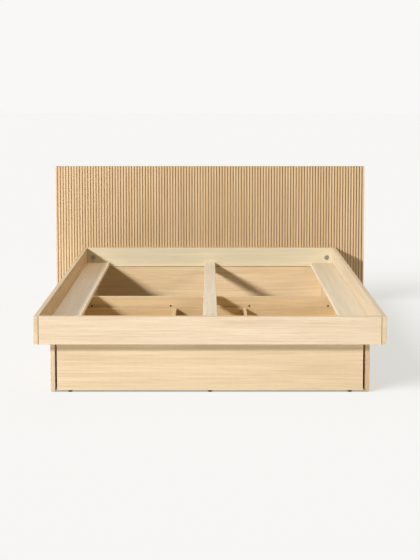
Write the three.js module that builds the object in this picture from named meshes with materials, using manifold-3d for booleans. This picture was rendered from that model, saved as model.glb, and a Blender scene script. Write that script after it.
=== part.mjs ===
// Wooden bed frame with a slatted headboard and a storage drawer at the foot end.
// Millimetres, +Z up. The origin is on the floor, at the centre of the whole object's footprint.
// The foot end faces -Y, the headboard stands at +Y, and the bed is symmetric about X = 0.

import * as THREE from 'three';
import { mergeVertices } from 'three/addons/utils/BufferGeometryUtils.js';
import Module from 'manifold-3d';

const wasm = await Module();
wasm.setup();

// ---------------------------------------------------------------- driving dimensions

const GAP = 0.3; // clearance kept between neighbouring pieces
const OVERCUT = 5; // how far a cutting tool runs past a face

// Rail frame around the mattress
const FRAME_WIDTH = 1870;
const FRAME_LENGTH = 2070;
const RAIL_THICKNESS = 25;
const RAIL_BOTTOM = 270;
const RAIL_TOP = 420;

// Support for the slatted bases, on top of the plinth
const LEDGE_WIDTH = 164;
const SUPPORT_THICKNESS = 25;
const BEAM_WIDTH_FOOT = 81;
const BEAM_WIDTH_HEAD = 76;

// Plinth
const PLINTH_WIDTH = 1707;
const PLINTH_TOP = 287;
const PLINTH_BOTTOM = 4;
const PLINTH_RECESS = 40; // from the foot rail's front face
const PANEL_THICKNESS = 25;
const CROSS_PANEL_FROM_FRONT = 1036;
const CROSS_PANEL_HOLE_PITCH = 502;
const CROSS_PANEL_HOLE_HEIGHT = 228;
const CROSS_PANEL_HOLE_RADIUS = 6;
const CROSS_PANEL_HOLE_DEPTH = 18;

// Headboard
const HEADBOARD_WIDTH = 2288;
const HEADBOARD_TOP = 1025;
const HEADBOARD_BOTTOM = 5;
const SLAT_COUNT = 113;
const SLAT_WIDTH = 12;
const SLAT_DEPTH = 11;
const SLAT_CHAMFER = 1.5;
const SLAT_WEB = 9; // solid board behind the slats
const BACK_BOARD_THICKNESS = 16;

// Drawer
const DRAWER_FRONT_WIDTH = 1638;
const DRAWER_FRONT_TOP = 264;
const DRAWER_BOTTOM_EDGE = 10;
const DRAWER_BOX_WIDTH = 1624;
const DRAWER_BOX_TOP = 221;
const DRAWER_DEPTH = 981; // front face to the back's rear face
const DRAWER_BOARD = 18;
const DIVIDER_X = 221;
const TRAY_BOTTOM = 20;
const TRAY_THICKNESS = 9;
const GROOVE_DEPTH = 6;

// Hardware
const BOLT_X = 866;
const BOLT_HEIGHT = 349;
const BOLT_RADIUS = 4;
const BOLT_HEAD_RADIUS = 8;
const BOLT_HEAD_HEIGHT = 5;
const BOLT_CROWN = 2;
const BOLT_TIP_INSET = 4; // from the headboard's back face
const BOLT_TIP_CHAMFER = 1;
const SOCKET_RADIUS = 3;
const SOCKET_DEPTH = 2.75;
const WASHER_RADIUS = 17;
const WASHER_THICKNESS = 2;
const NUT_RADIUS = 7;
const NUT_FLANGE_RADIUS = 11;
const NUT_FLANGE_THICKNESS = 1.5;
const DOWEL_RADIUS = 5;
const DOWEL_LENGTH = 50;
const DOWEL_IN_SIDE_RAIL = 15;
const DOWEL_HEIGHTS = { lower: 305, upper: 385 };
const BRACKET_LENGTH = 60;
const BRACKET_LEG = 46;
const BRACKET_DROP = 14;
const BRACKET_SPACING = 800;
const BRACKET_SCREW_FROM_RAIL = 28;
const STEEL_THICKNESS = 2.5;
const HANGER_WIDTH = 150;
const HANGER_SEAT = 45;
const SCREW_RADIUS = 2;
const SCREW_HEAD_RADIUS = 4.5;
const SCREW_HEAD_HEIGHT = 2.5;
const SCREW_LENGTH = 16;
const SCREW_POINT = 3;

// Glides
const PLINTH_GLIDE_RADIUS = 11;
const PLINTH_GLIDE_INSET = 60;
const DRAWER_GLIDE_RADIUS = 12;
const DRAWER_GLIDE_X = 750;
const HEADBOARD_PAD = { width: 60, depth: 30, x: 1000, inset: 2 };

const ROUND_SEGMENTS = 24;
const PIN_SEGMENTS = 12;

// ---------------------------------------------------------------- derived levels and planes

const HEADBOARD_FRONT_THICKNESS = SLAT_WEB + SLAT_DEPTH;
const TOTAL_DEPTH = FRAME_LENGTH + GAP + HEADBOARD_FRONT_THICKNESS + GAP + BACK_BOARD_THICKNESS;
const FRONT_Y = -TOTAL_DEPTH / 2;

const FRAME_HALF = FRAME_WIDTH / 2;
const INNER_HALF = FRAME_HALF - RAIL_THICKNESS;
const SUPPORT_TOP = PLINTH_TOP + SUPPORT_THICKNESS;
const PLINTH_HALF = PLINTH_WIDTH / 2;
const PLINTH_INNER_HALF = PLINTH_HALF - PANEL_THICKNESS;

const fromFront = (distance) => FRONT_Y + distance;
const FOOT_RAIL_BACK = fromFront(RAIL_THICKNESS);
const HEAD_RAIL_FRONT = fromFront(FRAME_LENGTH - RAIL_THICKNESS);
const FRAME_BACK = fromFront(FRAME_LENGTH);
const HEADBOARD_FRONT = FRAME_BACK + GAP;
const BACK_BOARD_FRONT = HEADBOARD_FRONT + HEADBOARD_FRONT_THICKNESS + GAP;
const BACK_BOARD_BACK = BACK_BOARD_FRONT + BACK_BOARD_THICKNESS;
const CROSS_PANEL_FRONT = fromFront(CROSS_PANEL_FROM_FRONT);
const CROSS_PANEL_MIDDLE = CROSS_PANEL_FRONT + PANEL_THICKNESS / 2;
const DRAWER_FACE = fromFront(PLINTH_RECESS);
const DRAWER_FRONT_BACK = DRAWER_FACE + PANEL_THICKNESS;
const DRAWER_REAR = DRAWER_FACE + DRAWER_DEPTH;
const DRAWER_BACK_FRONT = DRAWER_REAR - DRAWER_BOARD;
const DRAWER_HALF = DRAWER_BOX_WIDTH / 2;
const DRAWER_INNER_HALF = DRAWER_HALF - DRAWER_BOARD;
const HANGER_BACK = FOOT_RAIL_BACK + GAP;
const HANGER_FACE = HANGER_BACK + STEEL_THICKNESS;
const HANGER_BOTTOM = PLINTH_TOP - STEEL_THICKNESS;
const HANGER_INNER = BEAM_WIDTH_FOOT / 2 + GAP;
const HANGER_OUTER = HANGER_INNER + STEEL_THICKNESS;
const HANGER_SCREW_X = (HANGER_OUTER + HANGER_WIDTH / 2) / 2;
const HANGER_SCREW_HEIGHT = (HANGER_BOTTOM + SUPPORT_TOP) / 2;

const SIDES = { left: -1, right: 1 };

// ---------------------------------------------------------------- finishes

const finish = (color, roughness, metalness = 0) =>
  new THREE.MeshStandardMaterial({ color, roughness, metalness });

const OAK = finish('#eed4a8', 0.55);
const OAK_SLATS = finish('#e2c296', 0.6);
const OAK_PANEL = finish('#e3c192', 0.6);
const RAW_PINE = finish('#e6d8b8', 0.75);
const DRAWER_BOARD_FINISH = finish('#e0c08e', 0.65);
const BACKING = finish('#cfae7c', 0.8);
const STEEL = finish('#9aa0a6', 0.35, 0.9);
const BLACK_PLASTIC = finish('#1b1a19', 0.5);
const BEECH = finish('#d8b078', 0.7);

// ---------------------------------------------------------------- building blocks

const bed = new THREE.Group();
const drawer = new THREE.Group();
bed.add(drawer);

function addMesh(parent, name, material, geometry, position = [0, 0, 0]) {
  const mesh = new THREE.Mesh(geometry, material.clone());
  mesh.name = name;
  mesh.position.set(...position);
  parent.add(mesh);
  return mesh;
}

function toSolid(geometry) {
  const bare = geometry.clone();
  bare.deleteAttribute('normal');
  bare.deleteAttribute('uv');
  const merged = mergeVertices(bare, 1e-4);
  return new wasm.Manifold(new wasm.Mesh({
    numProp: 3,
    vertProperties: new Float32Array(merged.attributes.position.array),
    triVerts: new Uint32Array(merged.index.array),
  }));
}

function toGeometry(solid) {
  const mesh = solid.getMesh();
  const geometry = new THREE.BufferGeometry();
  geometry.setAttribute('position', new THREE.BufferAttribute(mesh.vertProperties, 3));
  geometry.setIndex(new THREE.BufferAttribute(mesh.triVerts, 1));
  geometry.computeVertexNormals();
  return geometry;
}

const cut = (geometry, cutters) =>
  toGeometry(cutters.reduce((solid, cutter) => solid.subtract(toSolid(cutter)), toSolid(geometry)));

const join = (pieces) =>
  toGeometry(pieces.slice(1).reduce((solid, piece) => solid.add(toSolid(piece)), toSolid(pieces[0])));

// A box between two limits on each axis, in object coordinates.
function block([x0, x1], [y0, y1], [z0, z1]) {
  const geometry = new THREE.BoxGeometry(x1 - x0, y1 - y0, z1 - z0);
  geometry.translate((x0 + x1) / 2, (y0 + y1) / 2, (z0 + z1) / 2);
  return geometry;
}

// A round bar along an axis, from `start` by `length`, with the other two coordinates in `centre`.
function bar(axis, radius, start, length, centre, segments = ROUND_SEGMENTS) {
  const geometry = new THREE.CylinderGeometry(radius, radius, length, segments);
  const middle = start + length / 2;
  if (axis === 'x') {
    geometry.rotateZ(Math.PI / 2);
    geometry.translate(middle, centre[0], centre[1]);
  } else if (axis === 'y') {
    geometry.translate(centre[0], middle, centre[1]);
  } else {
    geometry.rotateX(Math.PI / 2);
    geometry.translate(centre[0], centre[1], middle);
  }
  return geometry;
}

// A turned piece about an axis along Y: `profile` lists [radius, distance along +Y] pairs.
function turnedAlongY(profile, [x, y, z]) {
  const points = profile.map(([radius, along]) => new THREE.Vector2(radius, along));
  const geometry = new THREE.LatheGeometry(points, ROUND_SEGMENTS);
  geometry.translate(x, y, z);
  return geometry;
}

// A span on the X axis, mirrored for the left-hand side.
const sideSpan = (side, inner, outer) => (side > 0 ? [inner, outer] : [-outer, -inner]);

// ---------------------------------------------------------------- headboard

function slattedPanel() {
  const half = HEADBOARD_WIDTH / 2;
  const pitch = (HEADBOARD_WIDTH - SLAT_WIDTH) / (SLAT_COUNT - 1);
  const valley = SLAT_DEPTH;
  const outline = new THREE.Shape();
  outline.moveTo(-half, HEADBOARD_FRONT_THICKNESS);
  for (let i = 0; i < SLAT_COUNT; i += 1) {
    const left = -half + i * pitch;
    const right = left + SLAT_WIDTH;
    if (i > 0) {
      outline.lineTo(left, valley);
    }
    outline.lineTo(left, SLAT_CHAMFER);
    outline.lineTo(left + SLAT_CHAMFER, 0);
    outline.lineTo(right - SLAT_CHAMFER, 0);
    outline.lineTo(right, SLAT_CHAMFER);
    if (i < SLAT_COUNT - 1) {
      outline.lineTo(right, valley);
    }
  }
  outline.lineTo(half, HEADBOARD_FRONT_THICKNESS);
  const height = HEADBOARD_TOP - HEADBOARD_BOTTOM;
  const geometry = new THREE.ExtrudeGeometry(outline, { depth: height, bevelEnabled: false });
  geometry.translate(0, HEADBOARD_FRONT, HEADBOARD_BOTTOM);
  return geometry;
}

// A hole along Y at a headboard bolt, cut through everything between two planes.
const boltHole = (x, radius, from, to) =>
  bar('y', radius, from - OVERCUT, to - from + 2 * OVERCUT, [x, BOLT_HEIGHT]);

function buildHeadboard() {
  const holeXs = Object.values(SIDES).map((side) => side * BOLT_X);
  const throughSlats = holeXs.map((x) =>
    boltHole(x, BOLT_RADIUS + 2 * GAP, HEADBOARD_FRONT, BACK_BOARD_FRONT));
  addMesh(bed, 'headboard_slatted_panel', OAK_SLATS, cut(slattedPanel(), throughSlats));

  const half = HEADBOARD_WIDTH / 2;
  const board = block(
    [-half, half],
    [BACK_BOARD_FRONT, BACK_BOARD_BACK],
    [HEADBOARD_BOTTOM, HEADBOARD_TOP],
  );
  const flangeFloor = BACK_BOARD_BACK - NUT_FLANGE_THICKNESS - 2 * GAP;
  const nutSeats = holeXs.flatMap((x) => [
    boltHole(x, NUT_RADIUS + GAP, BACK_BOARD_FRONT, BACK_BOARD_BACK),
    boltHole(x, NUT_FLANGE_RADIUS + GAP, flangeFloor + OVERCUT, BACK_BOARD_BACK + OVERCUT),
  ]);
  addMesh(bed, 'headboard_back_board', BACKING, cut(board, nutSeats));

  const padBack = BACK_BOARD_BACK - HEADBOARD_PAD.inset;
  for (const [place, x] of [['left', -HEADBOARD_PAD.x], ['middle', 0], ['right', HEADBOARD_PAD.x]]) {
    const pad = block(
      [x - HEADBOARD_PAD.width / 2, x + HEADBOARD_PAD.width / 2],
      [padBack - HEADBOARD_PAD.depth, padBack],
      [0, HEADBOARD_BOTTOM - GAP],
    );
    addMesh(bed, `headboard_pad_${place}`, BLACK_PLASTIC, pad);
  }
}

// ---------------------------------------------------------------- rails, with their dowels and bolts

const dowelY = { foot: fromFront(RAIL_THICKNESS / 2), head: HEAD_RAIL_FRONT + RAIL_THICKNESS / 2 };

// The dowel's span along X: part in the side rail, the rest in the end of the foot or head rail.
function dowelSpan(side) {
  const outer = INNER_HALF + DOWEL_IN_SIDE_RAIL;
  return sideSpan(side, outer - DOWEL_LENGTH, outer);
}

function dowelHole(side, end, height) {
  const [start, stop] = dowelSpan(side);
  const length = stop - start + 2 * GAP;
  return bar('x', DOWEL_RADIUS + GAP, start - GAP, length, [dowelY[end], height], PIN_SEGMENTS);
}

function hangerPilotHoles() {
  const start = HANGER_FACE - SCREW_LENGTH;
  return [-HANGER_SCREW_X, HANGER_SCREW_X].map((x) =>
    bar('y', SCREW_RADIUS + GAP, start, SCREW_LENGTH + OVERCUT, [x, HANGER_SCREW_HEIGHT], PIN_SEGMENTS));
}

function buildRails() {
  const heights = Object.values(DOWEL_HEIGHTS);
  const endHoles = (end) =>
    Object.values(SIDES).flatMap((side) => heights.map((height) => dowelHole(side, end, height)));
  const across = [-INNER_HALF + GAP, INNER_HALF - GAP];

  const foot = block(across, [FRONT_Y, FOOT_RAIL_BACK], [RAIL_BOTTOM, RAIL_TOP]);
  addMesh(bed, 'foot_rail', OAK, cut(foot, [...endHoles('foot'), ...hangerPilotHoles()]));

  const head = block(across, [HEAD_RAIL_FRONT, FRAME_BACK], [RAIL_BOTTOM, RAIL_TOP]);
  const boltHoles = Object.values(SIDES).map((side) =>
    boltHole(side * BOLT_X, BOLT_RADIUS + GAP, HEAD_RAIL_FRONT, FRAME_BACK));
  addMesh(bed, 'head_rail', RAW_PINE, cut(head, [...endHoles('head'), ...boltHoles]));

  for (const [name, side] of Object.entries(SIDES)) {
    const rail = block(
      sideSpan(side, INNER_HALF, FRAME_HALF),
      [FRONT_Y, FRAME_BACK],
      [RAIL_BOTTOM, RAIL_TOP],
    );
    const holes = Object.keys(dowelY).flatMap((end) =>
      heights.map((height) => dowelHole(side, end, height)));
    addMesh(bed, `side_rail_${name}`, OAK, cut(rail, holes));
  }
}

function buildCornerDowels() {
  for (const [name, side] of Object.entries(SIDES)) {
    for (const end of Object.keys(dowelY)) {
      for (const [level, height] of Object.entries(DOWEL_HEIGHTS)) {
        const dowel = bar('x', DOWEL_RADIUS, dowelSpan(side)[0], DOWEL_LENGTH, [0, 0], PIN_SEGMENTS);
        addMesh(bed, `corner_dowel_${end}_${name}_${level}`, BEECH, dowel, [0, dowelY[end], height]);
      }
    }
  }
}

// A pan-head bolt through the head rail and the slatted panel, into a flanged nut in the back board.
function buildHeadboardBolts() {
  const washerBack = HEAD_RAIL_FRONT - GAP;
  const headBack = washerBack - WASHER_THICKNESS - GAP;
  const shankEnd = BACK_BOARD_BACK - BOLT_TIP_INSET - headBack;
  const nutLength = BACK_BOARD_THICKNESS - GAP;
  const flangeStart = nutLength - NUT_FLANGE_THICKNESS;
  const bore = BOLT_RADIUS + GAP;
  for (const [name, side] of Object.entries(SIDES)) {
    const x = side * BOLT_X;
    const bolt = turnedAlongY([
      [0, -BOLT_HEAD_HEIGHT],
      [BOLT_HEAD_RADIUS - BOLT_CROWN, -BOLT_HEAD_HEIGHT],
      [BOLT_HEAD_RADIUS, -BOLT_HEAD_HEIGHT + BOLT_CROWN],
      [BOLT_HEAD_RADIUS, 0],
      [BOLT_RADIUS, 0],
      [BOLT_RADIUS, shankEnd - BOLT_TIP_CHAMFER],
      [BOLT_RADIUS - BOLT_TIP_CHAMFER, shankEnd],
      [0, shankEnd],
    ], [x, headBack, BOLT_HEIGHT]);
    const socketStart = headBack - BOLT_HEAD_HEIGHT - OVERCUT;
    const socket = bar('y', SOCKET_RADIUS, socketStart, SOCKET_DEPTH + OVERCUT, [x, BOLT_HEIGHT], 6);
    addMesh(bed, `headboard_bolt_${name}`, STEEL, cut(bolt, [socket]));

    const washer = turnedAlongY([
      [bore, 0],
      [WASHER_RADIUS, 0],
      [WASHER_RADIUS, WASHER_THICKNESS],
      [bore, WASHER_THICKNESS],
      [bore, 0],
    ], [x, washerBack - WASHER_THICKNESS, BOLT_HEIGHT]);
    addMesh(bed, `headboard_washer_${name}`, STEEL, washer);

    const nut = turnedAlongY([
      [bore, 0],
      [NUT_RADIUS, 0],
      [NUT_RADIUS, flangeStart],
      [NUT_FLANGE_RADIUS, flangeStart],
      [NUT_FLANGE_RADIUS, nutLength],
      [bore, nutLength],
      [bore, 0],
    ], [x, BACK_BOARD_FRONT, BOLT_HEIGHT]);
    addMesh(bed, `headboard_nut_${name}`, STEEL, nut);
  }
}

// ---------------------------------------------------------------- ledges and centre beam

function buildLedges() {
  const along = [FOOT_RAIL_BACK + GAP, HEAD_RAIL_FRONT - GAP];
  for (const [name, side] of Object.entries(SIDES)) {
    const across = sideSpan(side, INNER_HALF - LEDGE_WIDTH, INNER_HALF - GAP);
    addMesh(bed, `ledge_${name}`, RAW_PINE, block(across, along, [PLINTH_TOP + GAP, SUPPORT_TOP]));
  }
}

function buildLedgeBrackets() {
  const top = PLINTH_TOP;
  const bottom = top - BRACKET_DROP;
  const middleY = (FOOT_RAIL_BACK + HEAD_RAIL_FRONT) / 2;
  const places = { foot: middleY - BRACKET_SPACING, middle: middleY, head: middleY + BRACKET_SPACING };
  for (const [name, side] of Object.entries(SIDES)) {
    const outer = INNER_HALF - GAP;
    const flat = sideSpan(side, outer - BRACKET_LEG, outer);
    const upright = sideSpan(side, outer - STEEL_THICKNESS, outer);
    for (const [place, y] of Object.entries(places)) {
      const along = [y - BRACKET_LENGTH / 2, y + BRACKET_LENGTH / 2];
      const angle = join([
        block(flat, along, [top - STEEL_THICKNESS, top]),
        block(upright, along, [bottom, top]),
      ]);
      const screwAt = [side * (outer - BRACKET_SCREW_FROM_RAIL), y];
      const screwHole = bar('z', SCREW_RADIUS + GAP, bottom, BRACKET_DROP + OVERCUT, screwAt);
      addMesh(bed, `ledge_bracket_${name}_${place}`, STEEL, cut(angle, [screwHole]));
    }
  }
}

function buildCentreBeam() {
  const level = [PLINTH_TOP + GAP, SUPPORT_TOP];
  const half = { foot: BEAM_WIDTH_FOOT / 2, head: BEAM_WIDTH_HEAD / 2 };
  const seam = CROSS_PANEL_MIDDLE;
  const footBeam = block([-half.foot, half.foot], [HANGER_FACE + GAP, seam - GAP / 2], level);
  addMesh(bed, 'centre_beam_foot', RAW_PINE, footBeam);
  const headBeam = block([-half.head, half.head], [seam + GAP / 2, HEAD_RAIL_FRONT - GAP], level);
  addMesh(bed, 'centre_beam_head', RAW_PINE, headBeam);
}

// A bent steel hanger on the foot rail's inner face: back plate, seat and two cheeks.
function buildBeamHanger() {
  const plate = [HANGER_BACK, HANGER_FACE];
  const reach = [HANGER_BACK, HANGER_BACK + HANGER_SEAT];
  const height = [HANGER_BOTTOM, SUPPORT_TOP];
  const hanger = join([
    block([-HANGER_WIDTH / 2, HANGER_WIDTH / 2], plate, height),
    block([-HANGER_OUTER, HANGER_OUTER], reach, [HANGER_BOTTOM, PLINTH_TOP]),
    ...Object.values(SIDES).map((side) =>
      block(sideSpan(side, HANGER_INNER, HANGER_OUTER), reach, height)),
  ]);
  const screwHoles = [-HANGER_SCREW_X, HANGER_SCREW_X].map((x) => bar(
    'y',
    SCREW_RADIUS + GAP,
    HANGER_BACK - OVERCUT,
    STEEL_THICKNESS + 2 * OVERCUT,
    [x, HANGER_SCREW_HEIGHT],
  ));
  addMesh(bed, 'beam_hanger', STEEL, cut(hanger, screwHoles));
}

// Pan-head screws standing on the hanger, with their shanks in pilot holes in the foot rail.
function buildHangerScrews() {
  for (const [name, side] of Object.entries(SIDES)) {
    const screw = turnedAlongY([
      [0, -SCREW_LENGTH],
      [SCREW_RADIUS, -SCREW_LENGTH + SCREW_POINT],
      [SCREW_RADIUS, 0],
      [SCREW_HEAD_RADIUS, 0],
      [SCREW_HEAD_RADIUS, SCREW_HEAD_HEIGHT / 2],
      [SCREW_HEAD_RADIUS * 0.7, SCREW_HEAD_HEIGHT],
      [0, SCREW_HEAD_HEIGHT],
    ], [side * HANGER_SCREW_X, HANGER_FACE + GAP, HANGER_SCREW_HEIGHT]);
    addMesh(bed, `hanger_screw_${name}`, STEEL, screw);
  }
}

// ---------------------------------------------------------------- plinth

function buildPlinth() {
  const level = [PLINTH_BOTTOM, PLINTH_TOP];
  const plinthBack = HEAD_RAIL_FRONT - GAP;
  for (const [name, side] of Object.entries(SIDES)) {
    const across = sideSpan(side, PLINTH_INNER_HALF, PLINTH_HALF);
    addMesh(bed, `plinth_side_${name}`, OAK, block(across, [DRAWER_FACE, plinthBack], level));
  }
  const between = [-PLINTH_INNER_HALF + GAP, PLINTH_INNER_HALF - GAP];
  const headPanel = block(between, [plinthBack - PANEL_THICKNESS, plinthBack], level);
  addMesh(bed, 'plinth_head_panel', OAK_PANEL, headPanel);

  const crossPanel = block(between, [CROSS_PANEL_FRONT, CROSS_PANEL_FRONT + PANEL_THICKNESS], level);
  const holes = [-1.5, -0.5, 0.5, 1.5].map((step) => bar(
    'y',
    CROSS_PANEL_HOLE_RADIUS,
    CROSS_PANEL_FRONT - OVERCUT,
    CROSS_PANEL_HOLE_DEPTH + OVERCUT,
    [step * CROSS_PANEL_HOLE_PITCH, CROSS_PANEL_HOLE_HEIGHT],
  ));
  addMesh(bed, 'plinth_cross_panel', OAK_PANEL, cut(crossPanel, holes));
}

function buildPlinthGlides() {
  const ys = {
    foot: DRAWER_FACE + PLINTH_GLIDE_INSET,
    middle: CROSS_PANEL_MIDDLE,
    head: HEAD_RAIL_FRONT - PLINTH_GLIDE_INSET,
  };
  for (const [name, side] of Object.entries(SIDES)) {
    const x = side * (PLINTH_HALF - PANEL_THICKNESS / 2);
    for (const [place, y] of Object.entries(ys)) {
      const glide = bar('z', PLINTH_GLIDE_RADIUS, 0, PLINTH_BOTTOM - GAP, [0, 0]);
      addMesh(bed, `plinth_glide_${name}_${place}`, BLACK_PLASTIC, glide, [x, y, 0]);
    }
  }
}

// ---------------------------------------------------------------- drawer

// The groove ring that the drawer's bottom panel sits in, cut from every board around it.
const tray = (grow) => block(
  [-DRAWER_INNER_HALF - GROOVE_DEPTH - grow, DRAWER_INNER_HALF + GROOVE_DEPTH + grow],
  [DRAWER_FRONT_BACK - GROOVE_DEPTH - grow, DRAWER_BACK_FRONT + GROOVE_DEPTH + grow],
  [TRAY_BOTTOM - grow, TRAY_BOTTOM + TRAY_THICKNESS + grow],
);

function buildDrawer() {
  const groove = tray(GAP);
  const boxLevel = [DRAWER_BOTTOM_EDGE, DRAWER_BOX_TOP];

  const frontHalf = DRAWER_FRONT_WIDTH / 2;
  const frontLevel = [DRAWER_BOTTOM_EDGE, DRAWER_FRONT_TOP];
  const front = block([-frontHalf, frontHalf], [DRAWER_FACE, DRAWER_FRONT_BACK], frontLevel);
  addMesh(drawer, 'drawer_front', OAK, cut(front, [groove]));

  for (const [name, side] of Object.entries(SIDES)) {
    const across = sideSpan(side, DRAWER_INNER_HALF, DRAWER_HALF);
    const board = block(across, [DRAWER_FRONT_BACK + GAP, DRAWER_REAR], boxLevel);
    addMesh(drawer, `drawer_side_${name}`, DRAWER_BOARD_FINISH, cut(board, [groove]));
  }

  const between = [-DRAWER_INNER_HALF + GAP, DRAWER_INNER_HALF - GAP];
  const back = block(between, [DRAWER_BACK_FRONT, DRAWER_REAR], boxLevel);
  addMesh(drawer, 'drawer_back', DRAWER_BOARD_FINISH, cut(back, [groove]));

  addMesh(drawer, 'drawer_bottom', DRAWER_BOARD_FINISH, tray(0));
  for (const [name, side] of Object.entries(SIDES)) {
    const across = sideSpan(side, DIVIDER_X - DRAWER_BOARD / 2, DIVIDER_X + DRAWER_BOARD / 2);
    const along = [DRAWER_FRONT_BACK + GAP, DRAWER_BACK_FRONT - GAP];
    const level = [TRAY_BOTTOM + TRAY_THICKNESS + GAP, DRAWER_BOX_TOP];
    addMesh(drawer, `drawer_divider_${name}`, DRAWER_BOARD_FINISH, block(across, along, level));
  }
}

function buildDrawerGlides() {
  const ys = {
    front: DRAWER_FACE + PANEL_THICKNESS / 2,
    back: DRAWER_REAR - DRAWER_BOARD / 2,
  };
  for (const [place, y] of Object.entries(ys)) {
    for (const [name, x] of [['left', -DRAWER_GLIDE_X], ['middle', 0], ['right', DRAWER_GLIDE_X]]) {
      const glide = bar('z', DRAWER_GLIDE_RADIUS, 0, DRAWER_BOTTOM_EDGE - GAP, [0, 0]);
      addMesh(drawer, `drawer_glide_${place}_${name}`, BLACK_PLASTIC, glide, [x, y, 0]);
    }
  }
}

buildHeadboard();
buildRails();
buildCornerDowels();
buildHeadboardBolts();
buildLedges();
buildLedgeBrackets();
buildCentreBeam();
buildBeamHanger();
buildHangerScrews();
buildPlinth();
buildPlinthGlides();
buildDrawer();
buildDrawerGlides();

export default bed;
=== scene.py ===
"""A studio scene of a pale oak bed frame with a slatted headboard and a drawer in its plinth.

Everything is in metres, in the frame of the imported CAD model: +Z is up, the foot end faces -Y, and the
origin is on the floor at the centre of the footprint. Each board and fitting is a finished copy of its CAD
node, or a finer piece built in its place, and rides on the CAD body that it belongs to.
"""

import math
import random

import bmesh
import bpy
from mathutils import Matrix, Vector


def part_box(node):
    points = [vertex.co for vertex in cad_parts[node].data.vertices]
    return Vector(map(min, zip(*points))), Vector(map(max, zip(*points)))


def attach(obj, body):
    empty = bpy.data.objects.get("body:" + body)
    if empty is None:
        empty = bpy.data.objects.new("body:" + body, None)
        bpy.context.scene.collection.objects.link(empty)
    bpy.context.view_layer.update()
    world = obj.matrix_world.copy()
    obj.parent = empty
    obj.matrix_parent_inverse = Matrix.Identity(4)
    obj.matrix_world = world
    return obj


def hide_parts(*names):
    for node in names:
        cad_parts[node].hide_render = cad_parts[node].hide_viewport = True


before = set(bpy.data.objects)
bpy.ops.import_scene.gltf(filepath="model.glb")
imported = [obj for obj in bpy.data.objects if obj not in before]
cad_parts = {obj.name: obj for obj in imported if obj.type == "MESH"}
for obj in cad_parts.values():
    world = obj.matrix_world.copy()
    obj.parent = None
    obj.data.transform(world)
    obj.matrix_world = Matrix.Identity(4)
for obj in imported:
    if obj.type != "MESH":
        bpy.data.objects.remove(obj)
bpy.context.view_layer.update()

X, Y, Z = 0, 1, 2
SIDES = ("left", "right")
ENDS = ("foot", "head")
MM = 0.001
draw = random.Random(11)


# ---------------------------------------------------------------- camera, studio and light

# The camera looks along +Y from the middle of the foot end.
CAMERA_BEFORE_FOOT_RAIL = 4.995
CAMERA_HEIGHT = 1.681
CAMERA_PITCH = math.radians(3.721)
LENS = 61.59
LENS_SHIFT = -0.25
SENSOR = 36.0
VIEW_END = 200.0

# The two lamps light near and far things alike, as a common lamp lights a thing LAMP_REACH metres away.
# They get the power of that common lamp, so that the renderer samples them as often.
LAMP_REACH = 6.5
KEY_FROM = Vector((-5.65, -4.04, 3.65))
KEY_STRENGTH = 48.5
KEY_RADIUS = 0.5
KEY_COLOUR = (0.93, 0.945, 1.0)
FILL_FROM = Vector((5.65, -4.04, 3.65))
FILL_STRENGTH = 5.8
FILL_RADIUS = 0.7
FILL_COLOUR = (1.0, 0.8, 0.55)

# The floor has a sun of its own. Its glow ends under the plinth, except for a part only the camera sees.
FLOOR_KEY_FROM = Vector((-1.0, -0.54, 0.8))
FLOOR_KEY_STRENGTH = 8.2
FLOOR_KEY_ANGLE = math.radians(36)
FLOOR_KEY_COLOUR = (0.98, 0.99, 1.07)
FLOOR_REACH = 40.0
FLOOR_PAINT = (0.15, 0.14925, 0.147)
FLOOR_GLOW = (0.648, 0.638, 0.603)
GLOW_EDGE = 18 * MM
# The glow inside the plinth is weaker, as painted shade of the floor under the bed.
GLOW_IN_PLINTH = 0.55

# The sky is brightest overhead, a little towards the headboard. The camera sees the backdrop in its place.
SKY_FROM = Vector((0.0, 0.6, 1.0))
SKY_FOCUS = 3.0
SKY_STRENGTH = 1.2
SKY_COLOUR = (1.0, 0.99, 1.0)
BACKDROP = (0.947, 0.939, 0.922)


def make_camera():
    data = bpy.data.cameras.new("camera")
    data.lens = LENS
    data.sensor_width = SENSOR
    data.shift_y = LENS_SHIFT
    data.clip_end = VIEW_END
    camera = bpy.data.objects.new("camera", data)
    foot_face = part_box("foot_rail")[0].y
    camera.location = (0.0, foot_face - CAMERA_BEFORE_FOOT_RAIL, CAMERA_HEIGHT)
    camera.rotation_euler = (math.pi / 2 - CAMERA_PITCH, 0.0, 0.0)
    bpy.context.scene.collection.objects.link(camera)
    bpy.context.scene.camera = camera


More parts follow.
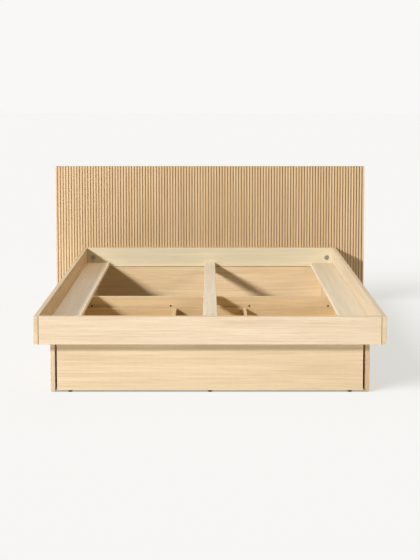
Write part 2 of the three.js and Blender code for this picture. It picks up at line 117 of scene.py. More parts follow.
class Shader:
    """A node tree of one material or world, with a short way to add a node and to feed its sockets."""

    def __init__(self, owner):
        self.owner = owner
        owner.use_nodes = True
        self.tree = owner.node_tree
        self.tree.nodes.clear()

    def add(self, kind, sockets=None, **settings):
        node = self.tree.nodes.new("ShaderNode" + kind)
        for name, value in settings.items():
            setattr(node, name, value)
        for name, value in (sockets or {}).items():
            if isinstance(value, bpy.types.NodeSocket):
                self.tree.links.new(value, node.inputs[name])
            else:
                node.inputs[name].default_value = value
        return node

    def math(self, operation, first, second=0.0, clamp=False):
        node = self.add("Math", {0: first, 1: second}, operation=operation, use_clamp=clamp)
        return node.outputs[0]

    def vector(self, operation, first, second):
        return self.add("VectorMath", {0: first, 1: second}, operation=operation).outputs[0]

    def noise(self, place, stretch, detail=2.0, roughness=0.5, distortion=0.0):
        """Noise with a different number of features a metre along each axis."""
        sockets = {"Scale": 1.0, "Detail": detail, "Roughness": roughness, "Distortion": distortion}
        sockets["Vector"] = self.vector("MULTIPLY", place, stretch)
        return self.add("TexNoise", sockets).outputs[0]

    def mix(self, share, first, second, blend="MIX"):
        sockets = {0: share, 6: first, 7: second}
        return self.add("Mix", sockets, data_type="RGBA", blend_type=blend).outputs[2]

    def spread(self, value, low, high, to_low=0.0, to_high=1.0):
        sockets = {"Value": value, "From Min": low, "From Max": high, "To Min": to_low, "To Max": to_high}
        return self.add("MapRange", sockets, interpolation_type="SMOOTHSTEP").outputs[0]

    def finish(self, surface, output="OutputMaterial"):
        self.add(output, {"Surface": surface.outputs[0]})


def make_lamp(name, kind, place, strength, colour):
    data = bpy.data.lights.new(name, kind)
    data.energy = strength
    data.color = colour
    lamp = bpy.data.objects.new(name, data)
    lamp.location = place
    lamp.rotation_euler = (-place).to_track_quat("-Z", "Y").to_euler()
    bpy.context.scene.collection.objects.link(lamp)
    return lamp


def light_floor(lamp, floor, state):
    """Says whether a lamp lights only the floor, or everything but the floor."""
    receivers = bpy.data.collections.new(f"{lamp.name}_receivers")
    receivers.objects.link(floor)
    receivers.collection_objects[0].light_linking.link_state = state
    lamp.light_linking.receiver_collection = receivers


def make_lamps(floor):
    """Two soft lamps that light the bed evenly, and a softer twin of the stronger one for the floor."""
    studio = (
        ("key", KEY_FROM, KEY_STRENGTH, KEY_RADIUS, KEY_COLOUR),
        ("fill", FILL_FROM, FILL_STRENGTH, FILL_RADIUS, FILL_COLOUR),
    )
    for name, place, strength, radius, colour in studio:
        lamp = make_lamp(name, "POINT", place, strength * LAMP_REACH ** 2, colour)
        lamp.data.shadow_soft_size = radius
        shader = Shader(lamp.data)
        falloff = shader.add("LightFalloff", {"Strength": 1.0}).outputs["Constant"]
        even = shader.math("DIVIDE", falloff, LAMP_REACH ** 2)
        shader.finish(shader.add("Emission", {"Strength": even}), "OutputLight")
        light_floor(lamp, floor, "EXCLUDE")

    sun = ("SUN", FLOOR_KEY_FROM, FLOOR_KEY_STRENGTH, FLOOR_KEY_COLOUR)
    floor_key = make_lamp("floor_key", *sun)
    floor_key.data.angle = FLOOR_KEY_ANGLE
    light_floor(floor_key, floor, "INCLUDE")


def make_world():
    """Soft light, strongest from overhead, and one even pale tone where the camera sees past the floor."""
    world = bpy.data.worlds.new("studio")
    bpy.context.scene.world = world
    shader = Shader(world)
    direction = shader.add("TexCoord").outputs["Generated"]
    facing = shader.add("VectorMath", {0: direction, 1: SKY_FROM.normalized()}, operation="DOT_PRODUCT")
    lobe = shader.math("POWER", shader.math("MAXIMUM", facing.outputs["Value"], 0.0), SKY_FOCUS)
    strength = shader.math("MULTIPLY", lobe, SKY_STRENGTH)
    light = shader.add("Background", {"Color": (*SKY_COLOUR, 1.0), "Strength": strength})
    backdrop = shader.add("Background", {"Color": (*BACKDROP, 1.0), "Strength": 1.0})
    seen = shader.add("LightPath").outputs["Is Camera Ray"]
    both = shader.add("MixShader", {0: seen, 1: light.outputs[0], 2: backdrop.outputs[0]})
    shader.finish(both, "OutputWorld")


def make_floor():
    """A pale floor that melts into the backdrop, by a glow that stands for far light.

    Inside the plinth the glow is weaker, as painted shade of the floor under the bed, and only seen: it
    doesn't light the boards from below.
    """
    mesh = bpy.data.meshes.new("studio_floor")
    corners = [(x * FLOOR_REACH, y * FLOOR_REACH, 0) for x, y in ((-1, -1), (1, -1), (1, 1), (-1, 1))]
    mesh.from_pydata(corners, [], [(0, 1, 2, 3)])
    floor = bpy.data.objects.new("studio_floor", mesh)
    bpy.context.scene.collection.objects.link(floor)
    shader = Shader(bpy.data.materials.new("studio_floor"))
    place = shader.add("TexCoord").outputs["Object"]
    axes = shader.add("SeparateXYZ", {"Vector": place}).outputs
    plinth_side, plinth_back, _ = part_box("plinth_side_right")[1]
    plinth_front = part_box("drawer_front")[0].y
    middle, half = (plinth_front + plinth_back) / 2, (plinth_back - plinth_front) / 2
    from_middle = shader.math("ABSOLUTE", shader.math("SUBTRACT", axes[Y], middle))
    beyond_sides = shader.spread(shader.math("ABSOLUTE", axes[X]), plinth_side - GLOW_EDGE, plinth_side)
    beyond_ends = shader.spread(from_middle, half - GLOW_EDGE, half)
    beyond = shader.math("MAXIMUM", beyond_sides, beyond_ends)
    seen = shader.add("LightPath").outputs["Is Camera Ray"]
    within = shader.math("MULTIPLY", seen, GLOW_IN_PLINTH)
    glow = shader.math("MAXIMUM", beyond, within)
    paint = shader.add("BsdfPrincipled", {
        "Base Color": (*FLOOR_PAINT, 1.0),
        "Roughness": 1.0,
        "Specular IOR Level": 0.0,
        "Emission Color": (*FLOOR_GLOW, 1.0),
        "Emission Strength": glow,
    })
    shader.finish(paint)
    mesh.materials.append(shader.owner)
    return floor


# ---------------------------------------------------------------- finishes


def srgb(*levels):
    """A colour given in display levels from 0 to 255, as the linear colour that a shader takes."""
    def linear(level):
        share = level / 255
        return share / 12.92 if share <= 0.04045 else ((share + 0.055) / 1.055) ** 2.4
    return (*map(linear, levels), 1.0)


PLAIN = (1.0, 1.0, 1.0)

# Each wood's middle colour, and how much of each thing its surface shows. The spacing of the rings and the
# range of the heart's distance behind the face are in metres. A veneered board's long edges, the tops of
# the rails among them, take a darker tone as painted shade. How much paler eased edges are is partly wear,
# partly painted sheen.
WOODS = {
    "oak_veneer": {
        "colour": srgb(236, 213, 178), "contrast": 0.125, "pores": 0.25, "ring": 0.0085, "rings": 0.12,
        "heart": (0.08, 0.14), "knots": 0.0, "edge": 0.1, "roughness": 0.5, "relief": 0.12,
        "long_edge_shade": (0.87, 0.87, 0.83),
    },
    "oak_slats": {
        "colour": srgb(225, 197, 154), "contrast": 0.12, "pores": 0.3, "ring": 0.006, "rings": 0.08,
        "heart": (0.2, 0.4), "knots": 0.0, "edge": 0.1, "roughness": 0.68, "relief": 0.04,
        "long_edge_shade": PLAIN,
    },
    "oak_panel": {
        "colour": srgb(218, 196, 157), "contrast": 0.13, "pores": 0.2, "ring": 0.02, "rings": 0.2,
        "heart": (0.08, 0.14), "knots": 0.0, "edge": 0.2, "roughness": 0.55, "relief": 0.12,
        "long_edge_shade": PLAIN,
    },
    "raw_pine": {
        "colour": srgb(217, 206, 182), "contrast": 0.08, "pores": 0.1, "ring": 0.015, "rings": 0.12,
        "heart": (0.08, 0.16), "knots": 0.65, "edge": 0.15, "roughness": 0.72, "relief": 0.25,
        "long_edge_shade": PLAIN,
    },
    "drawer_board": {
        "colour": srgb(216, 189, 140), "contrast": 0.12, "pores": 0.2, "ring": 0.012, "rings": 0.16,
        "heart": (0.05, 0.09), "knots": 0.0, "edge": 0.35, "roughness": 0.6, "relief": 0.1,
        "long_edge_shade": PLAIN,
    },
    "backing_board": {
        "colour": srgb(200, 172, 130), "contrast": 0.18, "pores": 0.3, "ring": 0.014, "rings": 0.25,
        "heart": (0.05, 0.1), "knots": 0.0, "edge": 0.3, "roughness": 0.75, "relief": 0.15,
        "long_edge_shade": PLAIN,
    },
    "beech_dowel": {
        "colour": srgb(214, 176, 126), "contrast": 0.18, "pores": 0.3, "ring": 0.003, "rings": 0.3,
        "heart": (0.02, 0.04), "knots": 0.0, "edge": 0.2, "roughness": 0.7, "relief": 0.3,
        "long_edge_shade": PLAIN,
    },
}
DEEPER = (1.0, 1.35, 1.8)
RELIEF_DEPTH = 0.4 * MM
PORE_DEPTH = 1.6
KNOT_COLOUR = srgb(140, 106, 72)
# The tint of dark joints, and of painted shade in bores, reveals, grooves and along the head panel's top
# edge.
JOINT_AND_SHADE_TINT = (0.1, 0.06, 0.02)

finishes = {}


def tinted(colour, share):
    """A wood colour made darker and warmer by a share, or lighter and paler by a negative one."""
    return (*(level * (1 - share * depth) for level, depth in zip(colour, DEEPER)), 1.0)


def place_in_log(shader, grain):
    """Where a point lies in its log: along the grain first, and then across it from the heart.

    The property log_heart of a piece is the heart's place. The mesh attribute strip shifts a face to other
    wood, and is handed back for the tones.
    """
    axes = shader.add("SeparateXYZ", {"Vector": shader.add("TexCoord").outputs["Object"]}).outputs
    along = shader.add("CombineXYZ", {i: axes[(grain + i) % 3] for i in range(3)}).outputs[0]
    heart = shader.add("Attribute", attribute_type="OBJECT", attribute_name="log_heart")
    along = shader.vector("SUBTRACT", along, heart.outputs["Vector"])
    strip = shader.add("Attribute", attribute_name="strip").outputs["Fac"]
    strips = shader.add("CombineXYZ", {0: strip, 1: strip, 2: strip}).outputs[0]
    return shader.vector("ADD", along, shader.vector("MULTIPLY", strips, (61.0, 0.05, 0.09))), strip


def growth_rings(shader, along, spacing):
    """Rings around a heart that wanders through the log, so that they meet the face in long arches."""
    path = shader.add("TexNoise", {
        "Scale": 1.0, "Detail": 1.0, "Vector": shader.vector("MULTIPLY", along, (0.6, 0.0, 0.0)),
    })
    wander = shader.vector("SUBTRACT", path.outputs["Color"], (0.5, 0.5, 0.5))
    wander = shader.vector("MULTIPLY", wander, (0.0, 0.05, 0.07))
    place = shader.vector("ADD", shader.vector("MULTIPLY", along, (0.05, 1.0, 1.0)), wander)
    return shader.add("TexWave", {
        "Vector": place, "Scale": math.tau / 20 / spacing, "Distortion": 0.8,
        "Detail": 2.0, "Detail Scale": 0.35, "Detail Roughness": 0.6,
    }, wave_type="RINGS", rings_direction="X", wave_profile="SAW").outputs["Fac"]


def knots(shader, along, colour, share):
    """A few small dark knots and pin marks, in some of the cells of a stretched grid."""
    grid = shader.vector("MULTIPLY", along, (5.0, 26.0, 26.0))
    cells = shader.add("TexVoronoi", {"Vector": grid, "Scale": 1.0})
    chosen = shader.spread(cells.outputs["Color"], 0.56, 0.58)
    spot = shader.spread(cells.outputs["Distance"], 0.05, 0.14, share, 0.0)
    return shader.mix(shader.math("MULTIPLY", spot, chosen), colour, KNOT_COLOUR)


def wood(kind, grain):
    """The finish of one kind of wood whose grain runs along one axis.

    Two properties of a piece and two attributes of its mesh steer it. A face takes the piece's tone where
    strip is 0, its end_tone as strip nears 1, and the wood's darker long-edge tone, a painted shade, as it
    nears -1. Where eased is 1 an edge is made paler, as wear and as painted sheen, and where it is below 0
    the face darkens: in a dark joint, or as painted shade in a bore, a reveal, a groove or along the top of
    the head panel.
    """
    key = (kind, grain)
    if key in finishes:
        return finishes[key]
    look = WOODS[kind]
    shader = Shader(bpy.data.materials.new(f"{kind}_{'xyz'[grain]}"))
    along, strip = place_in_log(shader, grain)
    fibres = shader.noise(along, (7.0, 330.0, 330.0), detail=2.0, roughness=0.65)
    layers = (
        (growth_rings(shader, along, look["ring"]), look["rings"]),
        (shader.noise(along, (2.4, 110.0, 110.0), detail=2.0, roughness=0.55), 1.3),
        (shader.noise(along, (1.1, 24.0, 24.0), detail=1.0), 0.75),
        (shader.noise(along, (0.9, 5.0, 5.0), detail=1.0), 0.5),
        (fibres, 1.1),
    )
    figure = 0.5
    for layer, share in layers:
        part = shader.math("MULTIPLY", shader.math("SUBTRACT", layer, 0.5), share)
        figure = shader.math("ADD", figure, part)
    figure = shader.math("ADD", figure, 0.0, clamp=True)
    contrast = look["contrast"]
    deep, pale = tinted(look["colour"], contrast), tinted(look["colour"], -contrast * 0.8)
    colour = shader.mix(figure, deep, pale)

    pore_field = shader.noise(along, (24.0, 1400.0, 1400.0), detail=1.0)
    pores = shader.spread(pore_field, 0.56, 0.68, 0.0, look["pores"])
    colour = shader.mix(pores, colour, tinted(look["colour"], 0.32))
    if look["knots"]:
        colour = knots(shader, along, colour, look["knots"])
    eased = shader.add("Attribute", attribute_name="eased").outputs["Fac"]
    # Eased edges are made paler, partly as wear and partly as painted sheen.
    wear_and_sheen = shader.spread(fibres, 0.35, 0.65, look["edge"] * 0.5, look["edge"])
    rubbed_and_sheen = shader.math("MULTIPLY", shader.math("MAXIMUM", eased, 0.0), wear_and_sheen)
    colour = shader.mix(rubbed_and_sheen, colour, tinted(look["colour"], -0.2))
    tone = shader.add("Attribute", attribute_type="OBJECT", attribute_name="tone")
    toned = shader.mix(1.0, colour, tone.outputs["Vector"], "MULTIPLY")
    end_tone = shader.add("Attribute", attribute_type="OBJECT", attribute_name="end_tone")
    banded = shader.mix(1.0, colour, end_tone.outputs["Vector"], "MULTIPLY")
    # The long edges, the tops of the rails among them, take a darker tone as painted shade.
    long_edge_shaded = shader.mix(1.0, colour, (*look["long_edge_shade"], 1.0), "MULTIPLY")
    colour = shader.mix(shader.math("MAXIMUM", strip, 0.0), toned, banded)
    colour = shader.mix(shader.math("MULTIPLY", strip, -1.0, clamp=True), colour, long_edge_shaded)
    # Dark joints, and painted shade in bores, reveals, grooves and along the head panel's top edge.
    joint_and_shade = shader.math("MULTIPLY", eased, -1.0, clamp=True)
    colour = shader.mix(joint_and_shade, colour, shader.mix(1.0, colour, (*JOINT_AND_SHADE_TINT, 1.0), "MULTIPLY"))

    gloss = shader.spread(fibres, 0.3, 0.7, look["roughness"] - 0.06, look["roughness"] + 0.08)
    height = shader.math("SUBTRACT", fibres, shader.math("MULTIPLY", pores, PORE_DEPTH))
    relief = shader.add("Bump", {"Height": height, "Strength": look["relief"], "Distance": RELIEF_DEPTH})
    paint = shader.add("BsdfPrincipled", {
        "Base Color": colour, "Roughness": gloss, "Normal": relief.outputs[0], "Specular IOR Level": 0.35,
    })
    shader.finish(paint)
    finishes[key] = shader.owner
    return shader.owner


def zinc_steel():
    """Bright zinc plating, a little cloudy and with fine rolling marks."""
    if "zinc_steel" in finishes:
        return finishes["zinc_steel"]
    shader = Shader(bpy.data.materials.new("zinc_steel"))
    place = shader.add("TexCoord").outputs["Object"]
    clouds = shader.noise(place, (140.0, 140.0, 140.0), detail=3.0, roughness=0.6)
    marks = shader.noise(place, (900.0, 2600.0, 900.0), detail=2.0)
    colour = shader.mix(clouds, srgb(125, 133, 143), srgb(190, 198, 208))
    roughness = shader.spread(clouds, 0.3, 0.7, 0.28, 0.46)
    relief = shader.add("Bump", {"Height": marks, "Strength": 0.2, "Distance": 0.05 * MM})
    metal = shader.add("BsdfPrincipled", {
        "Base Color": colour, "Metallic": 0.9, "Roughness": roughness, "Normal": relief.outputs[0],
    })
    shader.finish(metal)
    finishes["zinc_steel"] = shader.owner
    return shader.owner


def black_plastic():
    """Moulded black plastic with a fine spark-eroded texture."""
    if "black_plastic" in finishes:
        return finishes["black_plastic"]
    shader = Shader(bpy.data.materials.new("black_plastic"))
    place = shader.add("TexCoord").outputs["Object"]
    grit = shader.noise(place, (2200.0, 2200.0, 2200.0), detail=2.0)
    scuffs = shader.noise(place, (120.0, 120.0, 120.0), detail=3.0)
    colour = shader.mix(scuffs, srgb(12, 11, 10), srgb(30, 28, 27))
    roughness = shader.spread(scuffs, 0.3, 0.7, 0.42, 0.62)
    relief = shader.add("Bump", {"Height": grit, "Strength": 0.25, "Distance": 0.05 * MM})
    plastic = shader.add("BsdfPrincipled", {
        "Base Color": colour, "Roughness": roughness, "Normal": relief.outputs[0],
        "Specular IOR Level": 0.25,
    })
    shader.finish(plastic)
    finishes["black_plastic"] = shader.owner
    return shader.owner


# ---------------------------------------------------------------- making pieces


SHARP = math.radians(35)
MOST_WEIGHT = 100  # the larger faces set the normals at their corners


def piece_from(made, name, node, material, body):
    """Turns a filled bmesh into a shown piece that stands for a CAD node and rides on its body."""
    for face in made.faces:
        face.smooth = True
    mesh = bpy.data.meshes.new(name)
    made.to_mesh(mesh)
    made.free()
    mesh.set_sharp_from_angle(angle=SHARP)
    mesh.materials.clear()
    mesh.materials.append(material)
    piece = bpy.data.objects.new(name, mesh)
    bpy.context.scene.collection.objects.link(piece)
    weighted = piece.modifiers.new("flat_faces", "WEIGHTED_NORMAL")
    weighted.weight = MOST_WEIGHT
    weighted.keep_sharp = True
    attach(piece, body)
    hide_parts(node)
    return piece


WELD = 0.01 * MM
FLAT = math.radians(1)
ROUND_STEPS = 3
SHORTEST_EASED = 3.0  # the shortest edge that is rounded, as a multiple of the round


def eased_copy(node, ease):
    """A finished copy of a CAD node: whole flat faces, and a small round along its sharp edges.

    The short edges around a bore stay sharp, or they would hold back the rounds of the whole board.
    """
    made = bmesh.new()
    made.from_mesh(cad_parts[node].data)
    for layer in list(made.loops.layers.float_vector):
        made.loops.layers.float_vector.remove(layer)
    bmesh.ops.remove_doubles(made, verts=made.verts, dist=WELD)
    bmesh.ops.dissolve_limit(made, angle_limit=FLAT, verts=made.verts, edges=made.edges)
    eased = made.faces.layers.float.new("eased")
    sharp = [
        edge for edge in made.edges
        if edge.calc_face_angle(0.0) > SHARP and edge.calc_length() > SHORTEST_EASED * ease
    ]
    rounded = bmesh.ops.bevel(
        made, geom=sharp, offset=ease, segments=ROUND_STEPS, profile=0.5, affect="EDGES",
        clamp_overlap=True,
    )
    for face in rounded["faces"]:
        face[eased] = 1.0
    return made


def band_edges(made, node, grain):
    """Marks the narrow faces of a veneered board: 1 on its ends, which carry bands of wood, or else -1 on
    its long edges, which take painted shade.
    """
    low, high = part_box(node)
    thin = min(range(3), key=lambda axis: high[axis] - low[axis])
    strip = made.faces.layers.float.new("strip")
    made.normal_update()
    for face in made.faces:
        if abs(face.normal[thin]) < math.cos(SHARP):
            face[strip] = 1.0 if abs(face.normal[grain]) > math.sin(SHARP) else -1.0


def darken(made, is_dark):
    """Marks the faces whose middle passes a test to darken: a dark joint, or painted shade in a bore, a
    reveal or along an edge.
    """
    eased = made.faces.layers.float["eased"]
    for face in made.faces:
        if is_dark(face.calc_center_median()):
            face[eased] = -1.0


ALONG_LOG = (20.0, 90.0)
OFF_MIDDLE = 0.3
TONE_SPREAD = 0.005


def log_heart(node, kind, grain):
    """A point on the heart of a board's log, along the grain first: behind its face, near its middle."""
    low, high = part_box(node)
    size = high - low
    across = [(grain + 1) % 3, (grain + 2) % 3]
    thin = min(across, key=lambda axis: size[axis])
    heart = [draw.uniform(*ALONG_LOG), 0.0, 0.0]
    for place, axis in enumerate(across, start=1):
        middle = (low[axis] + high[axis]) / 2
        if axis == thin:
            heart[place] = middle + draw.uniform(*WOODS[kind]["heart"])
        else:
            heart[place] = middle + size[axis] * draw.uniform(-OFF_MIDDLE, OFF_MIDDLE)
    return heart


def cut_from_log(piece, node, kind, grain):
    """Gives a piece its place in a log, and a tone of its own beside the other pieces of its kind."""
    piece["log_heart"] = log_heart(node, kind, grain)
    for key, tones in (("tone", BOARD_TONES_AND_PAINTED_LIGHT), ("end_tone", END_TONES_AND_PAINTED_SHADE)):
        tone = next((tones[name] for name in tones if node.startswith(name)), PLAIN)
        piece[key] = [level * draw.uniform(1 - TONE_SPREAD, 1 + TONE_SPREAD) for level in tone]


def board(node, kind, grain, ease, body="bed", is_dark=None):
    """A finished board. The test is_dark picks the places on it that look dark."""
    made = eased_copy(node, ease)
    if kind == "oak_veneer":
        band_edges(made, node, grain)
    if is_dark:
        darken(made, is_dark)
    piece = piece_from(made, f"{node}_board", node, wood(kind, grain), body)
    cut_from_log(piece, node, kind, grain)


def fitting(made, node, slot, body="bed"):
    """A finished piece of hardware, in steel or plastic."""
    material = {"zinc_steel": zinc_steel, "black_plastic": black_plastic}[slot]()
    piece_from(made, f"{node}_finished", node, material, body)


SEGMENTS = 48
CROSS_ARM = 0.22
FLUTE_STEPS = 4
FLUTE_FLOOR = 0.92


def hexagon(turn):
    """How far the side of a hexagon lies from its middle, as a share of the distance of its corners."""
    sector = math.tau / 6
    return math.cos(sector / 2) / math.cos(turn % sector - sector / 2)


def cross(turn):
    """The same for the outline of a cross with four narrow arms."""
    along, across = abs(math.cos(turn)), abs(math.sin(turn))
    return min(1.0, CROSS_ARM / max(min(along, across), CROSS_ARM))


def flutes(turn):
    """The same for a rod with grooves along it."""
    return 1.0 if round(turn / math.tau * SEGMENTS) % FLUTE_STEPS else FLUTE_FLOOR


def turned(centre, axis, rings, hollow=False):
    """A solid turned about an axis, from rings that each have a distance along it, a radius and a shape.

    The rings run over the outside from end to end. A hollow solid's rings come back through its bore.
    """
    made = bmesh.new()
    loops = []
    for distance, radius, *shape in rings:
        loop = []
        for i in range(SEGMENTS):
            turn = math.tau * i / SEGMENTS
            reach = radius * (shape[0](turn) if shape else 1.0)
            place = Vector(centre)
            place[axis] += distance
            place[(axis + 1) % 3] += reach * math.cos(turn)
            place[(axis + 2) % 3] += reach * math.sin(turn)
            loop.append(made.verts.new(place))
        loops.append(loop)
    pairs = list(zip(loops, loops[1:]))
    if hollow:
        pairs.append((loops[-1], loops[0]))
    else:
        made.faces.new(loops[0])
        made.faces.new(loops[-1])
    for near, far in pairs:
        for i in range(SEGMENTS):
            j = (i + 1) % SEGMENTS
            made.faces.new((near[i], near[j], far[j], far[i]))
    bmesh.ops.recalc_face_normals(made, faces=made.faces)
    return made


def thread(start, stop, pitch, outer, inner):
    """The rings of a screw thread between two distances."""
    turns = int((stop - start) / pitch)
    rings = []
    for i in range(turns):
        rings += [(start + i * pitch, inner), (start + (i + 0.5) * pitch, outer)]
    return [*rings, (start + turns * pitch, inner)]


# ---------------------------------------------------------------- the bed


# The colour of each board beside the others of its kind, and of the ends of the veneered ones. The slats of
# the headboard vary between no tone and its end tone. Besides the boards' own tones these carry painted
# light
# and shade: the left ledge is lighter where the left rail's shadow lies on it, the right side rail darker
# against the key lamp's strong light on its inner face, and the right plinth side and its end darker.
BOARD_TONES_AND_PAINTED_LIGHT = {
    "foot_rail": (1.08, 1.08, 1.11),
    "head_rail": (1.07, 1.05, 0.94),
    "plinth_head_panel": (1.13, 1.055, 0.985),
    "plinth_cross_panel": (1.06, 1.02, 0.955),
    "centre_beam": (1.16, 1.13, 1.12),
    "side_rail_left": (0.84, 0.78, 0.66),
    # painted shade, against the key lamp's strong light on its inner face
    "side_rail_right": (0.77, 0.8, 0.82),
    # painted light, for the left rail's shadow that lies on it
    "ledge_left": (1.48, 1.46, 1.46),
    "ledge_right": (1.1, 1.04, 0.98),
    "plinth_side_left": (0.85, 0.8, 0.72),
    # painted shade
    "plinth_side_right": (0.78, 0.72, 0.66),
    "drawer_front": (1.04, 1.015, 0.965),
    "drawer_back": (0.97, 0.96, 1.0),
}
END_TONES_AND_PAINTED_SHADE = {
    "side_rail": (1.04, 1.01, 0.94),
    "plinth_side_left": (0.97, 0.94, 0.89),
    # painted shade
    "plinth_side_right": (0.85, 0.76, 0.645),
    "headboard_slatted_panel": (0.94, 0.93, 0.91),
}


# Within this reach of the drawer front's ends a plinth side's front is darkened, as painted shade of the
# gap.
REVEAL = 10 * MM  # reaches over the gap between the drawer front and a plinth side


def make_boards():
    veneer_ease, raw_ease, thin_ease, panel_ease = 1.4 * MM, 2.0 * MM, 0.8 * MM, 2.6 * MM
    tray_ease = 0.4 * MM
    foot_low, foot_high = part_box("foot_rail")
    cross_low, cross_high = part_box("plinth_cross_panel")
    head_low, head_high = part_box("plinth_head_panel")
    drawer_low, drawer_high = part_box("drawer_front")
    joint, bore = 2 * veneer_ease, 2 * thin_ease

    def at_ends(place, low, high, reach):
        return min(abs(place.x - low.x), abs(place.x - high.x)) < reach and abs(place.y - low.y) < joint

    def at_foot_joint(place):
        return at_ends(place, foot_low, foot_high, joint)

    # painted shade of the reveal, on the front edge of a plinth side beside the drawer front
    def at_plinth_reveal(place):
        return at_ends(place, drawer_low, drawer_high, REVEAL + joint)

    # painted shade inside the bores of the cross panel
    def in_cross_panel_bore(place):
        return all(cross_low[axis] + bore < place[axis] < cross_high[axis] - bore for axis in (X, Y, Z))

    # a painted shadow line along the top front edge of the head panel
    def at_head_panel_top(place):
        return max(abs(place.z - head_high.z), abs(place.y - head_low.y)) < panel_ease

    board("foot_rail", "oak_veneer", X, veneer_ease, is_dark=at_foot_joint)
    board("head_rail", "raw_pine", X, veneer_ease)
    board("headboard_back_board", "backing_board", X, thin_ease)
    board("plinth_head_panel", "oak_panel", X, panel_ease, is_dark=at_head_panel_top)
    board("plinth_cross_panel", "oak_panel", X, thin_ease, is_dark=in_cross_panel_bore)
    for end in ENDS:
        board(f"centre_beam_{end}", "raw_pine", Y, raw_ease)
    for side in SIDES:
        board(f"side_rail_{side}", "oak_veneer", Y, veneer_ease, is_dark=at_foot_joint)
        board(f"ledge_{side}", "raw_pine", Y, raw_ease)
        board(f"plinth_side_{side}", "oak_veneer", Y, veneer_ease, is_dark=at_plinth_reveal)
        board(f"drawer_side_{side}", "drawer_board", Y, thin_ease, "drawer")
        board(f"drawer_divider_{side}", "drawer_board", Y, thin_ease, "drawer")
    board("drawer_front", "oak_veneer", X, veneer_ease, "drawer")
    board("drawer_back", "drawer_board", X, thin_ease, "drawer")
    board("drawer_bottom", "drawer_board", X, tray_ease, "drawer")


SLAT_COUNT = 113
SLAT_SHARE = 12 / 20.32  # a slat's width, as a share of the step from one slat to the next
SLAT_HEIGHT = 6 * MM
SLAT_ROUND = 1.5 * MM

# How much painted shade the grooves carry, as values of the attribute eased: on their floors at the panel's
# two ends, lighter at the left end where more of the lamp's own shade shows, and on the cheeks of each
# slat, where only the left cheek is darkened.
GROOVE_FLOOR_SHADES = (-0.2, -0.45)
LEFT_CHEEK_SHADE = -0.35
RIGHT_CHEEK_SHADE = 0.0


def slat_front(left, right, front):
    """The front of one slat from its left foot to its right, as points across and through the panel."""
    points = [(left, front + SLAT_HEIGHT)]
    for corner_x, start in ((left + SLAT_ROUND, math.pi), (right - SLAT_ROUND, math.pi * 1.5)):
        for step in range(ROUND_STEPS + 1):
            turn = start + math.pi / 2 * step / ROUND_STEPS
            points.append((corner_x + SLAT_ROUND * math.cos(turn),
                           front + SLAT_ROUND + SLAT_ROUND * math.sin(turn)))
    points.append((right, front + SLAT_HEIGHT))
    return points


def make_slatted_panel():
    """The headboard's face: upright slats with eased edges, milled from one board with a solid back."""
    node = "headboard_slatted_panel"
    low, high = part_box(node)
    width = (high.x - low.x) / (SLAT_COUNT - 1 + SLAT_SHARE) * SLAT_SHARE
    pitch = width / SLAT_SHARE
    # The rounds of each slat are made paler, as wear and as painted sheen.
    round_wear_and_sheen = [1.0] * ROUND_STEPS
    # The left cheek of each slat carries painted shade.
    profile = (LEFT_CHEEK_SHADE, *round_wear_and_sheen, 0.0, *round_wear_and_sheen, RIGHT_CHEEK_SHADE)
    made = bmesh.new()
    strip = made.faces.layers.float.new("strip")
    eased = made.faces.layers.float.new("eased")

    def column(x, y):
        return made.verts.new((x, y, low.z)), made.verts.new((x, y, high.z))

    def wall(first, second, shade, finish=0.0):
        face = made.faces.new((first[0], second[0], second[1], first[1]))
        face[strip] = shade
        face[eased] = finish

    def caps(columns, shade):
        for level, order in ((0, -1), (1, 1)):
            face = made.faces.new([pair[level] for pair in columns][::order])
            face[strip] = shade

    previous = None
    for i in range(SLAT_COUNT):
        shade = draw.random()
        across = i / (SLAT_COUNT - 1)
        groove_floor_shade = GROOVE_FLOOR_SHADES[0] * (1 - across) + GROOVE_FLOOR_SHADES[1] * across
        left = low.x + i * pitch
        front = [column(*point) for point in slat_front(left, left + width, low.y)]
        back = [column(x, high.y) for x in (left, left + width)]
        for finish, first, second in zip(profile, front, front[1:]):
            wall(first, second, shade, finish)
        caps(front, shade)
        caps([front[0], front[-1], back[1], back[0]], shade)
        wall(back[1], back[0], shade)
        if previous:
            # the groove's floor, darkened as painted shade
            wall(previous[0], front[0], shade, groove_floor_shade)
            wall(back[0], previous[1], shade)
            caps([previous[0], front[0], back[0], previous[1]], shade)
        else:
            wall(back[0], front[0], shade)
        previous = (front[-1], back[1])
    wall(previous[0], previous[1], shade)
    bmesh.ops.recalc_face_normals(made, faces=made.faces)
    bore_bolt_holes(made, low.y, high.y)
    piece = piece_from(made, "headboard_slats", node, wood("oak_slats", Z), "bed")
    cut_from_log(piece, node, "oak_slats", Z)


BOLT_HOLE_RADIUS = 4.6 * MM
OVERCUT = 2 * MM


def bore_bolt_holes(made, front, back):
    """Cuts the holes of the two headboard bolts right through a bmesh between two planes."""
    whole = bpy.data.meshes.new("whole")
    made.to_mesh(whole)
    target = bpy.data.objects.new("whole", whole)
    bpy.context.scene.collection.objects.link(target)
    drills = []
    for side in SIDES:
        low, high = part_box(f"headboard_washer_{side}")
        centre = ((low.x + high.x) / 2, front - OVERCUT, (low.z + high.z) / 2)
        depth = back - front + 2 * OVERCUT
        bit = bpy.data.meshes.new("drill")
        drilled = turned(centre, Y, [(0, BOLT_HOLE_RADIUS), (depth, BOLT_HOLE_RADIUS)])
        drilled.to_mesh(bit)
        drilled.free()
        drill = bpy.data.objects.new("drill", bit)
        bpy.context.scene.collection.objects.link(drill)
        cut = target.modifiers.new("bore", "BOOLEAN")
        cut.operation = "DIFFERENCE"
        cut.solver = "EXACT"
        cut.object = drill
        drills.append(drill)
    bored = target.evaluated_get(bpy.context.evaluated_depsgraph_get()).to_mesh()
    made.clear()
    made.from_mesh(bored)
    for used in (target, *drills):
        bpy.data.objects.remove(used)


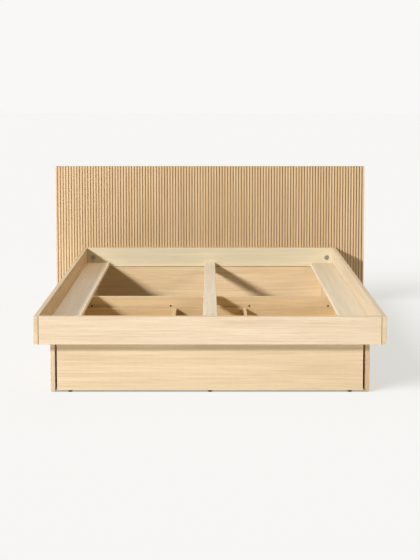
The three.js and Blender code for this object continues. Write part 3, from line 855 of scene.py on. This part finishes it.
def make_headboard_bolt(side):
    """A pan-head bolt with a hexagonal socket, its washer, and the flanged nut in the back board."""
    low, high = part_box(f"headboard_bolt_{side}")
    centre = ((low.x + high.x) / 2, low.y, (low.z + high.z) / 2)
    head, length = 5 * MM, high.y - low.y
    rings = [
        (2.75 * MM, 3 * MM, hexagon), (0.25 * MM, 3 * MM, hexagon), (0, 3.3 * MM), (0, 5.6 * MM),
        (0.3 * MM, 6.6 * MM), (0.8 * MM, 7.3 * MM), (1.5 * MM, 7.8 * MM), (2.3 * MM, 8 * MM),
        (head - 0.4 * MM, 8 * MM), (head, 7.6 * MM), (head, 4 * MM),
        *thread(head + 6 * MM, length - 1 * MM, 1.25 * MM, 4 * MM, 3.4 * MM),
        (length, 3 * MM),
    ]
    fitting(turned(centre, Y, rings), f"headboard_bolt_{side}", "zinc_steel")

    low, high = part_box(f"headboard_washer_{side}")
    depth, ease = high.y - low.y, 0.25 * MM
    bore, rim = 4.3 * MM, 17 * MM
    rings = [
        (0, bore + ease), (0, rim - 3 * ease), (ease / 2, rim - ease), (2 * ease, rim),
        (depth - ease, rim), (depth, rim - ease), (depth, bore), (ease, bore),
    ]
    made = turned((centre[0], low.y, centre[2]), Y, rings, hollow=True)
    fitting(made, f"headboard_washer_{side}", "zinc_steel")

    low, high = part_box(f"headboard_nut_{side}")
    length, flange, ease = high.y - low.y, 1.5 * MM, 0.2 * MM
    barrel, wide = 7 * MM, 11 * MM
    rings = [
        (0, bore + ease), (0, barrel - ease), (ease, barrel), (length - flange, barrel),
        (length - flange, wide - ease), (length - flange + ease, wide), (length - ease, wide),
        (length, wide - ease), (length, bore + ease), (length - ease, bore), (ease, bore),
    ]
    made = turned((centre[0], low.y, centre[2]), Y, rings, hollow=True)
    fitting(made, f"headboard_nut_{side}", "zinc_steel")


def make_hanger_screw(side):
    """A pan-head wood screw with a cross recess."""
    low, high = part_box(f"hanger_screw_{side}")
    centre = ((low.x + high.x) / 2, low.y, (low.z + high.z) / 2)
    length, head = high.y - low.y, 2.5 * MM
    neck = length - head
    rings = [
        (0, 0.3 * MM), (3 * MM, 1.6 * MM),
        *thread(3.4 * MM, neck - 2 * MM, 1.4 * MM, 2 * MM, 1.5 * MM),
        (neck - 1.5 * MM, 2 * MM), (neck, 2 * MM), (neck, 4.3 * MM), (neck + 0.2 * MM, 4.5 * MM),
        (neck + 1.2 * MM, 4.5 * MM), (neck + 1.9 * MM, 4.1 * MM), (neck + 2.3 * MM, 3.4 * MM),
        (length, 2.6 * MM), (length, 2.5 * MM), (length - 0.1 * MM, 2.3 * MM, cross),
        (length - 1.6 * MM, 1.2 * MM, cross),
    ]
    fitting(turned(centre, Y, rings), f"hanger_screw_{side}", "zinc_steel")


def make_glide(node, body="bed"):
    """A round plastic glide with a slightly domed foot."""
    low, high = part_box(node)
    radius, height = (high.x - low.x) / 2, high.z - low.z
    rings = [
        (0, radius * 0.7), (height * 0.04, radius * 0.84), (height * 0.14, radius * 0.95),
        (height * 0.3, radius), (height * 0.92, radius), (height, radius * 0.95),
    ]
    centre = ((low.x + high.x) / 2, (low.y + high.y) / 2, low.z)
    fitting(turned(centre, Z, rings), node, "black_plastic", body)


def make_dowel(node):
    """A fluted dowel with chamfered ends."""
    low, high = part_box(node)
    length, radius, chamfer = high.x - low.x, (high.z - low.z) / 2, 1.2 * MM
    rings = [
        (0, radius - chamfer), (chamfer, radius, flutes), (length - chamfer, radius, flutes),
        (length, radius - chamfer),
    ]
    made = turned((low.x, (low.y + high.y) / 2, (low.z + high.z) / 2), X, rings)
    piece = piece_from(made, f"{node}_fluted", node, wood("beech_dowel", X), "bed")
    cut_from_log(piece, node, "beech_dowel", X)


def make_fittings():
    for side in SIDES:
        make_headboard_bolt(side)
        make_hanger_screw(side)
        for place in ("foot", "middle", "head"):
            bracket = f"ledge_bracket_{side}_{place}"
            fitting(eased_copy(bracket, 0.4 * MM), bracket, "zinc_steel")
            make_glide(f"plinth_glide_{side}_{place}")
        for end in ENDS:
            for level in ("lower", "upper"):
                make_dowel(f"corner_dowel_{end}_{side}_{level}")
    fitting(eased_copy("beam_hanger", 0.4 * MM), "beam_hanger", "zinc_steel")
    for place in ("left", "middle", "right"):
        pad = f"headboard_pad_{place}"
        fitting(eased_copy(pad, 1.0 * MM), pad, "black_plastic")
        for end in ("front", "back"):
            make_glide(f"drawer_glide_{end}_{place}", "drawer")


make_camera()
make_world()
make_lamps(make_floor())
make_boards()
make_slatted_panel()
make_fittings()
bpy.context.scene.view_settings.view_transform = "Standard"
